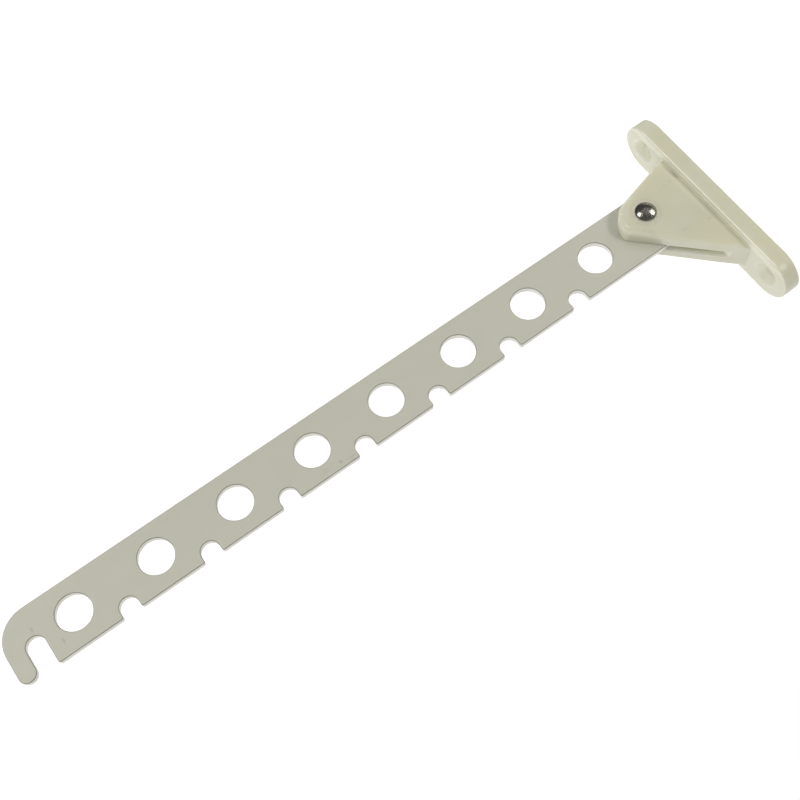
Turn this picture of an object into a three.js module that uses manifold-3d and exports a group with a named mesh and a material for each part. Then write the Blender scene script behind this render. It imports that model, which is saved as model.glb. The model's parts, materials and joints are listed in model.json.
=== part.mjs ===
// Folding closet valet rod: a flat aluminium arm with hanger holes and notches,
// riveted into the slot of a moulded wall bracket so that it folds up against the wall.
// Millimetres, +Z up. The wall is the plane X = 0, the arm reaches out along +X, and the
// rivet lies along Y. The origin is the centre of the bracket's back face.
import * as THREE from "three";
import { mergeVertices } from "three/addons/utils/BufferGeometryUtils.js";
import Module from "manifold-3d";

const wasm = await Module();
wasm.setup();

// Arm: a blanked length of flat bar, laid out from its pivot hole
const barWidth = 19.05;
const barThickness = 2.38;
const barEdgeRadius = 0.25;
const pivotAboveLowerEdge = 8.12;
const pivotToFirstHole = 20.11;
const hangerPitch = 25.4;
const hangerHoleDiameter = 10.32;
const hangerHoleCount = 8;
const notchWidth = 5.6;
const notchDepth = 4.7;
const notchLipRadius = 0.6;
const lastHoleToHookSlot = 12.45;
const hookSlotWidth = 5.6;
const hookSlotDepth = 10.3;
const hookMouthRadius = 0.8;
const hookFingerWidth = 5.1;
const pivotToStopFace = 12.35;

// Bracket: one moulding, a screw plate with two ears that stand out from it
const plateWidth = 16.13;
const plateThickness = 5.47;
const plateEdgeRadius = 0.35;
const screwSpacing = 55.4;
const screwHoleDiameter = 4.4;
const screwHeadDiameter = 8.4;
const pivotFromPlate = 16.35;
const pivotBelowPlateCentre = 8.15;
const earThickness = 3.84;
const earNoseRadius = 9;
const earNoseBeyondPivot = 0.53;
const earNoseAbovePivot = 2.06;
const earShoulderRadius = 2;
const earShoulderDegrees = -4;
const earRootBelowPivot = 11.65;
const earRootAbovePivot = 28.25;
const earEdgeRadius = 0.5;
const earRootFillet = 0.5;

// Rivet and the washer under its clinched tail
const rivetShankDiameter = 3.2;
const rivetHeadDiameter = 6.35;
const rivetHeadHeight = 1.5;
const rivetHeadRim = 0.25;
const rivetTailDiameter = 5.0;
const rivetTailBase = 0.3;
const rivetTailBoreDiameter = 2.2;
const rivetTailBoreDepth = 1.4;
const washerDiameter = 7.2;
const washerThickness = 0.8;
const washerEdgeRadius = 0.2;

// Fits
const armSideClearance = 0.22;
const pivotRadialClearance = 0.15;
const stopClearance = 0.3;
const seatGap = 0.2;
const cutOverrun = 2.0;

// Steps of the round stretches
const holeSteps = 36;
const notchSteps = 14;
const lipSteps = 3;
const endSteps = 18;
const domeSteps = 8;
const roundSteps = 36;
const barEdgeSteps = 1;
const mouldedEdgeSteps = 3;

// Places that follow from the sizes above
const pivotX = plateThickness + pivotFromPlate;
const pivotZ = -pivotBelowPlateCentre;
const slotWidth = barThickness + 2 * armSideClearance;
const earsWidth = slotWidth + 2 * earThickness;
const pivotBoreRadius = rivetShankDiameter / 2 + pivotRadialClearance;
const slotFloorBehindPivot = pivotToStopFace + stopClearance;

// Points along an arc about (x, y), from one angle to another, both ends included
function arc(x, y, radius, from, to, steps) {
  const points = [];
  for (let i = 0; i <= steps; i++) {
    const angle = from + ((to - from) * i) / steps;
    points.push(new THREE.Vector2(x + radius * Math.cos(angle), y + radius * Math.sin(angle)));
  }
  return points;
}

// A plate of this outline, centred on its thickness along local Z, with rounded edges
function roundedPlate(shape, thickness, edgeRadius, edgeSteps) {
  const geometry = new THREE.ExtrudeGeometry(shape, {
    depth: thickness - 2 * edgeRadius,
    bevelEnabled: true,
    bevelThickness: edgeRadius,
    bevelSize: edgeRadius,
    bevelOffset: -edgeRadius,
    bevelSegments: edgeSteps,
  });
  return geometry.translate(0, 0, edgeRadius - thickness / 2);
}

// A closed solid for boolean work, from a geometry with its shared vertices merged
function toSolid(geometry) {
  const bare = geometry.clone();
  bare.deleteAttribute("normal");
  bare.deleteAttribute("uv");
  const merged = mergeVertices(bare);
  return new wasm.Manifold(
    new wasm.Mesh({
      numProp: 3,
      vertProperties: Float32Array.from(merged.attributes.position.array),
      triVerts: Uint32Array.from(merged.index.array),
    }),
  );
}

function toGeometry(solid) {
  const mesh = solid.getMesh();
  const geometry = new THREE.BufferGeometry();
  geometry.setAttribute("position", new THREE.BufferAttribute(mesh.vertProperties, 3));
  geometry.setIndex(new THREE.BufferAttribute(mesh.triVerts, 1));
  geometry.computeVertexNormals();
  return geometry;
}

// Side outlines lie in local X and Y and are extruded along local Z: this stands them up,
// with local Y along +Z and the extrusion along -Y
const standUp = Math.PI / 2;

// Arm, with its pivot at the local origin, the notched edge at +Y and the tip at +X
const lowerEdge = -pivotAboveLowerEdge;
const notchedEdge = lowerEdge + barWidth;
const holeLine = lowerEdge + barWidth / 2;
const lastHole = pivotToFirstHole + (hangerHoleCount - 1) * hangerPitch;
const hookSlot = lastHole + lastHoleToHookSlot;
const armTip = hookSlot + hookSlotWidth / 2 + hookFingerWidth;

// A U-shaped notch into the upper edge, walked from the tip side to the pivot side
function notchOutline(x, width, depth, lipRadius) {
  const half = width / 2;
  const bottom = notchedEdge - depth + half;
  const lip = notchedEdge - lipRadius;
  return [
    ...arc(x + half + lipRadius, lip, lipRadius, Math.PI / 2, Math.PI, lipSteps),
    ...arc(x, bottom, half, 0, -Math.PI, notchSteps),
    ...arc(x - half - lipRadius, lip, lipRadius, 0, Math.PI / 2, lipSteps),
  ];
}

// The slot behind the finger: its outer lip is the finger's own round end
function hookOutline() {
  const half = hookSlotWidth / 2;
  const fingerRadius = hookFingerWidth / 2;
  const lip = notchedEdge - hookMouthRadius;
  return [
    ...arc(armTip - fingerRadius, notchedEdge - fingerRadius, fingerRadius, 0, Math.PI, endSteps),
    ...arc(hookSlot, notchedEdge - hookSlotDepth + half, half, 0, -Math.PI, notchSteps),
    ...arc(hookSlot - half - hookMouthRadius, lip, hookMouthRadius, 0, Math.PI / 2, lipSteps),
  ];
}

function armShape() {
  const tipRadius = barWidth / 2;
  const outline = [
    new THREE.Vector2(-pivotToStopFace, lowerEdge),
    ...arc(armTip - tipRadius, holeLine, tipRadius, -Math.PI / 2, 0, endSteps),
    ...hookOutline(),
  ];
  for (let i = hangerHoleCount - 1; i > 0; i--) {
    const x = pivotToFirstHole + (i - 1 / 2) * hangerPitch;
    outline.push(...notchOutline(x, notchWidth, notchDepth, notchLipRadius));
  }
  // The upper back corner is struck from the pivot, so that it clears the slot's floor
  const cornerAngle = Math.PI - Math.asin(Math.min(notchedEdge / pivotToStopFace, 1));
  outline.push(...arc(0, 0, pivotToStopFace, cornerAngle, Math.PI, endSteps));
  const shape = new THREE.Shape(outline);

  for (let i = 0; i < hangerHoleCount; i++) {
    const x = pivotToFirstHole + i * hangerPitch;
    shape.holes.push(circle(x, holeLine, hangerHoleDiameter / 2, holeSteps));
  }
  shape.holes.push(circle(0, 0, pivotBoreRadius, holeSteps));
  return shape;
}

function circle(x, y, radius, steps) {
  return new THREE.Path(arc(x, y, radius, 0, 2 * Math.PI, steps).slice(0, -1));
}

// Bracket, built in the frame of the whole part
function plateSolid() {
  const radius = plateWidth / 2;
  const half = screwSpacing / 2;
  const outline = new THREE.Shape([
    ...arc(0, half, radius, 0, Math.PI, endSteps),
    ...arc(0, -half, radius, Math.PI, 2 * Math.PI, endSteps),
  ]);
  // Twice as thick as the plate and then halved, so that only its front edge is rounded
  const geometry = roundedPlate(outline, 2 * plateThickness, plateEdgeRadius, mouldedEdgeSteps);
  const yzx = new THREE.Matrix4().makeBasis(
    new THREE.Vector3(0, 1, 0),
    new THREE.Vector3(0, 0, 1),
    new THREE.Vector3(1, 0, 0),
  );
  const behindWall = new THREE.BoxGeometry(
    plateThickness + cutOverrun,
    plateWidth + cutOverrun,
    screwSpacing + plateWidth + cutOverrun,
  ).translate(-(plateThickness + cutOverrun) / 2, 0, 0);
  return toSolid(geometry.applyMatrix4(yzx)).subtract(toSolid(behindWall));
}

// The angle at which a line from this point touches a circle, on the side given by the sign
function touchAngle(point, centre, radius, side) {
  const from = point.clone().sub(centre);
  return Math.atan2(from.y, from.x) + side * Math.acos(Math.min(radius / from.length(), 1));
}

// The ears' side outline: two straight flanks from the root, the lower one tangent to the
// broad nose and the upper one to the tighter shoulder that the nose turns into
function earShape() {
  const rootX = -pivotFromPlate;
  const intoPlate = rootX - plateThickness / 2;
  const lowerRoot = new THREE.Vector2(rootX, -earRootBelowPivot);
  const upperRoot = new THREE.Vector2(rootX, earRootAbovePivot);
  const nose = new THREE.Vector2(earNoseBeyondPivot, earNoseAbovePivot);
  const turn = THREE.MathUtils.degToRad(earShoulderDegrees);
  const inset = earNoseRadius - earShoulderRadius;
  const shoulder = nose.clone().add(new THREE.Vector2(inset * Math.cos(turn), inset * Math.sin(turn)));
  const lowerTouch = touchAngle(lowerRoot, nose, earNoseRadius, 1);
  const upperTouch = touchAngle(upperRoot, shoulder, earShoulderRadius, -1);
  return new THREE.Shape([
    new THREE.Vector2(intoPlate, -earRootBelowPivot),
    lowerRoot,
    ...arc(nose.x, nose.y, earNoseRadius, lowerTouch, turn, endSteps),
    ...arc(shoulder.x, shoulder.y, earShoulderRadius, turn, upperTouch, notchSteps).slice(1),
    upperRoot,
    new THREE.Vector2(intoPlate, earRootAbovePivot),
  ]);
}

function earsSolid() {
  const geometry = roundedPlate(earShape(), earsWidth, earEdgeRadius, mouldedEdgeSteps);
  return toSolid(geometry.rotateX(standUp).translate(pivotX, 0, pivotZ));
}

// A concave fillet along one side of the ears' root, on the side given by the sign
function rootFillet(side) {
  const size = earRootFillet + cutOverrun / 2;
  const length = earRootAbovePivot + earRootBelowPivot;
  const middle = pivotZ + (earRootAbovePivot - earRootBelowPivot) / 2;
  const inset = earRootFillet - size / 2;
  const bar = new THREE.BoxGeometry(size, size, length);
  bar.translate(plateThickness + inset, side * (earsWidth / 2 + inset), middle);
  const cove = new THREE.CylinderGeometry(earRootFillet, earRootFillet, length + cutOverrun, roundSteps);
  cove.rotateX(standUp);
  cove.translate(plateThickness + earRootFillet, side * (earsWidth / 2 + earRootFillet), middle);
  return toSolid(bar).subtract(toSolid(cove));
}

// Both root fillets, trimmed to the slope of the ears' flanks
function rootFillets() {
  const width = earsWidth + 2 * earRootFillet + cutOverrun;
  const flanks = new THREE.ExtrudeGeometry(earShape(), { depth: width, bevelEnabled: false });
  flanks.translate(0, 0, -width / 2).rotateX(standUp).translate(pivotX, 0, pivotZ);
  return rootFillet(1).add(rootFillet(-1)).intersect(toSolid(flanks));
}

// The slot for the arm: it runs through from the short flank to the long one
function slotSolid() {
  const length = slotFloorBehindPivot + earNoseBeyondPivot + earNoseRadius + cutOverrun;
  const height = earRootAbovePivot + earRootBelowPivot + cutOverrun;
  const slot = new THREE.BoxGeometry(length, slotWidth, height);
  slot.translate(
    pivotX - slotFloorBehindPivot + length / 2,
    0,
    pivotZ + (earRootAbovePivot - earRootBelowPivot) / 2,
  );
  return toSolid(slot);
}

// A countersunk hole through the plate, as a profile turned about its axis
function screwHoleSolid(z) {
  const holeRadius = screwHoleDiameter / 2;
  const headRadius = screwHeadDiameter / 2;
  const sinkDepth = headRadius - holeRadius;
  const hole = new THREE.LatheGeometry(
    [
      new THREE.Vector2(0, -cutOverrun),
      new THREE.Vector2(holeRadius, -cutOverrun),
      new THREE.Vector2(holeRadius, plateThickness - sinkDepth),
      new THREE.Vector2(headRadius + cutOverrun, plateThickness + cutOverrun),
      new THREE.Vector2(0, plateThickness + cutOverrun),
    ],
    roundSteps,
  );
  return toSolid(hole.rotateZ(-Math.PI / 2).translate(0, 0, z));
}

function bracketGeometry() {
  const bore = new THREE.CylinderGeometry(
    pivotBoreRadius,
    pivotBoreRadius,
    earsWidth + cutOverrun,
    roundSteps,
  ).translate(pivotX, 0, pivotZ);
  const moulding = plateSolid().add(earsSolid()).add(rootFillets());
  return toGeometry(
    moulding
      .subtract(slotSolid())
      .subtract(toSolid(bore))
      .subtract(screwHoleSolid(screwSpacing / 2))
      .subtract(screwHoleSolid(-screwSpacing / 2)),
  );
}

// Rivet, turned about local Y with its head at +Y and the middle of the arm at the origin
function rivetGeometry() {
  const shank = rivetShankDiameter / 2;
  const headRadius = rivetHeadDiameter / 2;
  const headSeat = earsWidth / 2 + seatGap;
  const tailSeat = -(earsWidth / 2 + 2 * seatGap + washerThickness);
  const tailRadius = rivetTailDiameter / 2;
  const boreRadius = rivetTailBoreDiameter / 2;
  const rollRadius = (tailRadius - boreRadius) / 2;
  const rollCentre = tailSeat - rivetTailBase;
  const domeRise = rivetHeadHeight - rivetHeadRim;
  const domeRadius = (headRadius ** 2 + domeRise ** 2) / (2 * domeRise);
  const domeCentre = headSeat + rivetHeadHeight - domeRadius;
  const domeEdge = Math.asin((domeRadius - domeRise) / domeRadius);
  const profile = [
    new THREE.Vector2(0, rollCentre + rivetTailBoreDepth),
    new THREE.Vector2(boreRadius, rollCentre + rivetTailBoreDepth),
    ...arc(boreRadius + rollRadius, rollCentre, rollRadius, -Math.PI, 0, domeSteps),
    new THREE.Vector2(tailRadius, tailSeat),
    new THREE.Vector2(shank, tailSeat),
    new THREE.Vector2(shank, headSeat),
    new THREE.Vector2(headRadius, headSeat),
    ...arc(0, domeCentre, domeRadius, domeEdge, Math.PI / 2, domeSteps).slice(0, -1),
    new THREE.Vector2(0, headSeat + rivetHeadHeight),
  ];
  return new THREE.LatheGeometry(profile, roundSteps);
}

// Washer, turned about local Y, its upper face towards the ear
function washerGeometry() {
  const outer = washerDiameter / 2;
  const inner = pivotBoreRadius;
  const top = -(earsWidth / 2 + seatGap);
  const bottom = top - washerThickness;
  const edge = washerEdgeRadius;
  const profile = [
    new THREE.Vector2(inner, bottom),
    ...arc(outer - edge, bottom + edge, edge, -Math.PI / 2, 0, lipSteps),
    ...arc(outer - edge, top - edge, edge, 0, Math.PI / 2, lipSteps),
    new THREE.Vector2(inner, top),
    new THREE.Vector2(inner, bottom),
  ];
  return new THREE.LatheGeometry(profile, roundSteps);
}

const ivoryPlastic = new THREE.MeshStandardMaterial({ color: 0xd6d2bc, roughness: 0.5, metalness: 0 });
const satinAluminium = new THREE.MeshStandardMaterial({ color: 0xbcbbae, roughness: 0.42, metalness: 0.9 });
const platedSteel = new THREE.MeshStandardMaterial({ color: 0xb9b9b6, roughness: 0.14, metalness: 1 });

function piece(name, geometry, material) {
  const mesh = new THREE.Mesh(geometry, material);
  mesh.name = name;
  return mesh;
}

const valetRod = new THREE.Group();
valetRod.add(piece("bracket", bracketGeometry(), ivoryPlastic));

// What turns on the pivot, or passes through it, is placed from the pivot's axis
const pivot = new THREE.Group();
pivot.position.set(pivotX, 0, pivotZ);
valetRod.add(pivot);

const armBar = roundedPlate(armShape(), barThickness, barEdgeRadius, barEdgeSteps);
const arm = piece("arm", armBar, satinAluminium);
arm.rotation.x = standUp;
const rivet = piece("pivot_rivet", rivetGeometry(), platedSteel);
rivet.rotation.x = Math.PI;
const washer = piece("rivet_washer", washerGeometry(), platedSteel);
washer.rotation.x = Math.PI;
pivot.add(arm, rivet, washer);

export default valetRod;
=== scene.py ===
"""Folding closet valet rod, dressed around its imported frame.

A flat aluminium arm with hanger holes and notches folds up into the slot of a moulded wall
bracket about one rivet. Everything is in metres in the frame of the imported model: the wall
is the plane X = 0, the open arm reaches out along +X with its notches up, and the rivet
lies along Y.
"""

import json
import logging
import math
from collections.abc import Callable, Iterator, Sequence
from contextlib import contextmanager
from dataclasses import dataclass
from enum import Enum
from itertools import pairwise
from typing import Any

import bmesh
import bpy
from bpy.types import Material, Node, NodeSocket, NodeTree, Object
from mathutils import Matrix, Vector


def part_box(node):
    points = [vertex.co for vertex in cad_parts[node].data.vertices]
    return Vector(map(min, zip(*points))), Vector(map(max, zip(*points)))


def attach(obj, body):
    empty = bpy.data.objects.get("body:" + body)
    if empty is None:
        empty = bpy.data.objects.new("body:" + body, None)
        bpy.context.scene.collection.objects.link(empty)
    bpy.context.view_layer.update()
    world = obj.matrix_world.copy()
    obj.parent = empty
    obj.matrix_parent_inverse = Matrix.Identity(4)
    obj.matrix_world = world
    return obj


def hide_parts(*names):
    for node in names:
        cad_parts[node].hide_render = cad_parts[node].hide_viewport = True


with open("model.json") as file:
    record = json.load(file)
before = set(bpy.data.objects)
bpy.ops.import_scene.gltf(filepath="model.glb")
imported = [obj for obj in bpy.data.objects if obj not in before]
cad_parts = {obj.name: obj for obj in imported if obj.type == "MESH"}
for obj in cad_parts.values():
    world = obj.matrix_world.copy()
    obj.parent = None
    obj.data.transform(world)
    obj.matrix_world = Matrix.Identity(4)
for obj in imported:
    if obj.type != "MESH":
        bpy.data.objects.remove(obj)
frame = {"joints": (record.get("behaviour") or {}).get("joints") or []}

log = logging.getLogger("valet_rod")

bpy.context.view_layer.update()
PIVOT = Vector(frame["joints"][0]["pos_m"])
MM = 1000.0
SNUG = 1e-5
OVERRUN = 0.002
CREASE = math.radians(12)
ALONG = 0.999
FACING = 0.95
Colour = tuple[float, float, float, float]


class Axis(Enum):
    """The axis a round tool lies along, as the turn that lays it there from Z."""

    X = (0.0, math.pi / 2, 0.0)
    Y = (math.pi / 2, 0.0, 0.0)


class Part(Enum):
    """What an edit-mode selection picks, by its list in the mesh."""

    VERT = "verts"
    EDGE = "edges"
    FACE = "faces"


class Carve(Enum):
    """How one solid meets another."""

    CUT = "DIFFERENCE"
    JOIN = "UNION"


class Bench:
    """The modelling bench: each tool is a few mesh operators, used as by hand."""

    @staticmethod
    def hold(piece: Object) -> None:
        """Select one object alone and make it the active one.

        Args:
            piece: the object to work on.
        """
        bpy.ops.object.select_all(action="DESELECT")
        piece.select_set(True)
        bpy.context.view_layer.objects.active = piece

    @staticmethod
    def settle(name: str) -> Object:
        """Name the new primitive and move its place into its mesh.

        Args:
            name: the object's name.

        Returns:
            The object, at the origin, unturned and unscaled.
        """
        piece = bpy.context.active_object
        piece.name = piece.data.name = name
        bpy.ops.object.transform_apply(location=True, rotation=True, scale=True)
        return piece

    @staticmethod
    def block(name: str, low: Vector, high: Vector) -> Object:
        """Add a block between two corners.

        Args:
            name: the object's name.
            low: its lowest corner.
            high: its highest corner.

        Returns:
            The block.
        """
        bpy.ops.mesh.primitive_cube_add(size=1.0, location=(low + high) / 2, scale=high - low)
        return Bench.settle(name)

    @staticmethod
    def drum(name: str, centre: Vector, radius: float, length: float, axis: Axis, sides: int = 96) -> Object:
        """Add a round bar.

        Args:
            name: the object's name.
            centre: the middle of the bar.
            radius: its radius.
            length: its length along the axis.
            axis: the axis it lies along.
            sides: how many flat sides stand for the round.

        Returns:
            The bar.
        """
        bpy.ops.mesh.primitive_cylinder_add(
            vertices=sides, radius=radius, depth=length, location=centre, rotation=axis.value
        )
        return Bench.settle(name)

    @staticmethod
    @contextmanager
    def editing(piece: Object, part: Part) -> Iterator[None]:
        """Open an object in edit mode with everything selected, and close it again.

        Args:
            piece: the object to edit.
            part: what selections are made of.
        """
        Bench.hold(piece)
        bpy.ops.object.mode_set(mode="EDIT")
        bpy.ops.mesh.select_mode(type=part.name)
        bpy.ops.mesh.select_all(action="SELECT")
        yield
        bpy.ops.object.mode_set(mode="OBJECT")

    @staticmethod
    def pick(piece: Object, part: Part, wanted: Callable[[Any], bool]) -> int:
        """Select the elements of an object in edit mode that pass a test, and only those.

        Args:
            piece: the object in edit mode.
            part: which elements are tested.
            wanted: the test.

        Returns:
            How many passed.
        """
        bpy.ops.mesh.select_all(action="DESELECT")
        mesh = bmesh.from_edit_mesh(piece.data)
        mesh.normal_update()
        chosen = [e for e in getattr(mesh, part.value) if wanted(e)]
        for element in chosen:
            element.select_set(True)
        mesh.select_flush_mode()
        bmesh.update_edit_mesh(piece.data)
        return len(chosen)

    @staticmethod
    def round_edges(piece: Object, radius: float, steps: int, wanted: Callable[[Any], bool]) -> None:
        """Round the edges that pass a test.

        Args:
            piece: the object to work on.
            radius: how far the rounding reaches from each edge.
            steps: the faces across the rounding.
            wanted: the test of an edge.
        """
        with Bench.editing(piece, Part.EDGE):
            found = Bench.pick(piece, Part.EDGE, wanted)
            bpy.ops.mesh.bevel(
                offset_type="OFFSET", offset=radius, segments=steps, affect="EDGES", clamp_overlap=False
            )
            bpy.ops.mesh.select_all(action="SELECT")
            bpy.ops.mesh.remove_doubles(threshold=SNUG / 2)
        log.debug("%s: %d edges rounded to %.2f mm", piece.name, found, radius * MM)

    @staticmethod
    def halve(piece: Object, point: Vector, way: tuple[float, float, float]) -> None:
        """Cut away what lies on one side of a plane and close the cut.

        Args:
            piece: the solid.
            point: a point of the plane.
            way: the direction in which the part that goes lies.
        """
        with Bench.editing(piece, Part.FACE):
            bpy.ops.mesh.bisect(
                plane_co=point, plane_no=way, use_fill=True, clear_outer=True, threshold=SNUG / 10
            )

    @staticmethod
    def carve(piece: Object, tool: Object, how: Carve = Carve.CUT) -> None:
        """Cut an object with a tool, or join the tool to it, and put the tool away.

        Args:
            piece: the object to work on.
            tool: the solid that cuts it or is joined to it.
            how: which of the two.
        """
        Bench.hold(piece)
        step = piece.modifiers.new("carve", "BOOLEAN")
        step.operation, step.solver, step.object = how.value, "EXACT", tool
        bpy.ops.object.modifier_apply(modifier=step.name)
        bpy.data.objects.remove(tool)

    @staticmethod
    def gather(pieces: Sequence[Object]) -> Object:
        """Put several objects into one.

        Args:
            pieces: the objects, the first of which takes in the others.

        Returns:
            The first object.
        """
        Bench.hold(pieces[0])
        for piece in pieces[1:]:
            piece.select_set(True)
        bpy.ops.object.join()
        return pieces[0]

    @staticmethod
    def repeated(tool: Object, step: Vector, count: int) -> Object:
        """Repeat a tool in a row, each copy with its own mesh, and gather the row.

        Args:
            tool: the first of the row.
            step: the way from each to the next.
            count: how many the row has.

        Returns:
            The whole row as one object.
        """
        row = [tool]
        for place in range(1, count):
            Bench.hold(tool)
            bpy.ops.object.duplicate(linked=False)
            copy = bpy.context.active_object
            bpy.ops.transform.translate(value=step * place)
            bpy.ops.object.transform_apply(location=True, rotation=False, scale=False)
            row.append(copy)
        return Bench.gather(row)

    @staticmethod
    def turned(name: str, profile: Sequence[tuple[float, float]], sides: int = 96) -> Object:
        """Turn a solid about the rivet's axis: a disc drawn out and resized ring by ring.

        Args:
            name: the object's name.
            profile: the radius and the place along Y of each ring, from one end to the other.
            sides: how many flat sides stand for the round.

        Returns:
            The closed solid.
        """
        radius, place = profile[0]
        bpy.ops.mesh.primitive_circle_add(
            vertices=sides, radius=radius, fill_type="NGON",
            location=(PIVOT.x, place, PIVOT.z), rotation=Axis.Y.value,
        )
        piece = Bench.settle(name)
        with Bench.editing(piece, Part.FACE):
            for (radius, place), (next_radius, next_place) in pairwise(profile):
                bpy.ops.mesh.extrude_region_move(
                    TRANSFORM_OT_translate={"value": (0, next_place - place, 0)}
                )
                ratio = next_radius / radius
                bpy.ops.transform.resize(
                    value=(ratio, 1, ratio), center_override=(PIVOT.x, next_place, PIVOT.z)
                )
            bpy.ops.mesh.merge(type="CENTER")
            bpy.ops.mesh.select_all(action="SELECT")
            bpy.ops.mesh.normals_make_consistent(inside=False)
        return piece

    @staticmethod
    def finish(piece: Object, smooth_below: float = 40.0) -> Object:
        """Merge doubles, face the surface outwards and shade it as rounded metal or plastic is.

        Args:
            piece: the modelled object.
            smooth_below: edges that turn less than this, in degrees, are shaded smooth.

        Returns:
            The same object.
        """
        with Bench.editing(piece, Part.VERT):
            bpy.ops.mesh.remove_doubles(threshold=SNUG / 5)
            bpy.ops.mesh.normals_make_consistent(inside=False)
        Bench.hold(piece)
        bpy.ops.object.shade_smooth_by_angle(angle=math.radians(smooth_below))
        weigh = piece.modifiers.new("flat faces stay flat", "WEIGHTED_NORMAL")
        weigh.mode, weigh.weight, weigh.keep_sharp = "FACE_AREA", 100, True
        bpy.ops.object.modifier_apply(modifier=weigh.name)
        return piece

    @staticmethod
    def mark_faces(piece: Object, name: str, wanted: Callable[[Any], float]) -> None:
        """Give each face a number from 0 to 1, under a name that a finish can read."""
        mark = piece.data.attributes.new(name, "FLOAT", "FACE")
        mark.data.foreach_set("value", [float(wanted(p)) for p in piece.data.polygons])


def arc(radius: float, start: float, end: float, steps: int) -> list[tuple[float, float]]:
    """Points along an arc about the origin, from one angle in degrees to another."""
    angles = (math.radians(start + (end - start) * i / steps) for i in range(steps + 1))
    return [(radius * math.cos(a), radius * math.sin(a)) for a in angles]


def on_both(edge: Any, test: Callable[[Vector], bool]) -> bool:
    """Whether both ends of an edge pass a test of their place."""
    return all(test(v.co) for v in edge.verts)


def is_crease(edge: Any) -> bool:
    """Whether the faces beside an edge turn by more than a few degrees."""
    return len(edge.link_faces) == 2 and edge.calc_face_angle(0.0) > CREASE


def runs_along(edge: Any, axis: int) -> bool:
    """Whether an edge lies along one axis, given by its number."""
    way = (edge.verts[1].co - edge.verts[0].co).normalized()
    return abs(way[axis]) > ALONG


class NodeSheet:
    """A node tree while it is laid out."""

    def __init__(self, tree: NodeTree) -> None:
        """Start on the node tree of a material, a world or a group."""
        self.tree = tree

    def add(self, kind: str, wires: dict[str | int, Any] | None = None, **settings: Any) -> Node:
        """Add a node, set its own properties, then wire or set its inputs.

        Args:
            kind: the node's type.
            wires: a socket or a constant for each named or numbered input.
            settings: the node's own properties.

        Returns:
            The node.
        """
        node = self.tree.nodes.new(kind)
        for name, value in settings.items():
            setattr(node, name, value)
        for name, value in (wires or {}).items():
            if isinstance(value, NodeSocket):
                self.tree.links.new(value, node.inputs[name])
            else:
                node.inputs[name].default_value = value
        return node

    def maths(self, operation: str, *values: Any) -> NodeSocket:
        """Work out one number from sockets or constants, in the operation's order."""
        return self.add("ShaderNodeMath", dict(enumerate(values)), operation=operation).outputs[0]

    def vectors(self, operation: str, *values: Any) -> NodeSocket:
        """Work out a vector in the same way, or the number that a length or a dot product is."""
        node = self.add("ShaderNodeVectorMath", dict(enumerate(values)), operation=operation)
        return node.outputs["Value" if operation in ("LENGTH", "DOT_PRODUCT") else "Vector"]

    def noise(self, place: Any, **wires: Any) -> NodeSocket:
        """Read a noise texture at a place, with its other inputs by name."""
        return self.add("ShaderNodeTexNoise", {"Vector": place, **wires}).outputs[0]

    def spread(self, value: Any, low: Any, high: Any, to_low: Any = 0.0, to_high: Any = 1.0) -> NodeSocket:
        """Map the range from low to high smoothly onto another, held at its ends."""
        wires = {"Value": value, "From Min": low, "From Max": high, "To Min": to_low, "To Max": to_high}
        return self.add("ShaderNodeMapRange", wires, interpolation_type="SMOOTHSTEP").outputs[0]

    def blend(self, share: Any, first: Any, second: Any) -> NodeSocket:
        """Mix a share of the second colour over the first."""
        return self.add("ShaderNodeMix", {0: share, 6: first, 7: second}, data_type="RGBA").outputs[2]

    def tint(self, mask: Any, share: float, body: Any, colour: Colour) -> NodeSocket:
        """Lay a colour over the body where a mask shows, at a share of its strength."""
        return self.blend(self.maths("MULTIPLY", mask, share), body, colour)

    def effect(self, group: NodeTree, **values: Any) -> NodeSocket:
        """Place a shared effect with its own values, named with _ for the spaces in its inputs."""
        wires = {name.replace("_", " "): value for name, value in values.items()}
        return self.add("ShaderNodeGroup", wires, node_tree=group).outputs[0]

    def face_mark(self, name: str) -> NodeSocket:
        """Read the number that the faces of the piece carry under a name."""
        return self.add("ShaderNodeAttribute", attribute_name=name).outputs["Fac"]

    def place(self) -> NodeSocket:
        """The place on the piece in millimetres from the pivot."""
        wires = {"Vector": self.add("ShaderNodeTexCoord").outputs["Object"], "Location": -MM * PIVOT}
        return self.add("ShaderNodeMapping", wires | {"Scale": (MM, MM, MM)}).outputs[0]

    def off_axis(self, place: Any) -> NodeSocket:
        """How far a place lies from the rivet's axis."""
        return self.vectors("LENGTH", self.vectors("MULTIPLY", place, (1.0, 0.0, 1.0)))

    def cover(
        self, shader: Node, body: Any, roughness: Any, height: Any, strength: float, depth: float
    ) -> None:
        """Give a shader its colour, its roughness and a fine relief.

        Args:
            shader: the material's shader.
            body: the colour.
            roughness: the roughness.
            height: the relief's height.
            strength: how much of the relief shows.
            depth: how deep it is, in metres.
        """
        bump = self.add("ShaderNodeBump", {"Strength": strength, "Distance": depth, "Height": height})
        for name, socket in (("Base Color", body), ("Roughness", roughness), ("Normal", bump.outputs[0])):
            self.tree.links.new(socket, shader.inputs[name])


@dataclass(frozen=True)
class Mark:
    """A small mark on a surface, in millimetres from the pivot: X along the arm, Y across, Z up."""

    along: float
    across: float
    up: float
    half_length: float
    half_height: float
    strength: float
    half_width: float = 0.8
    softness: float = 0.6


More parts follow.
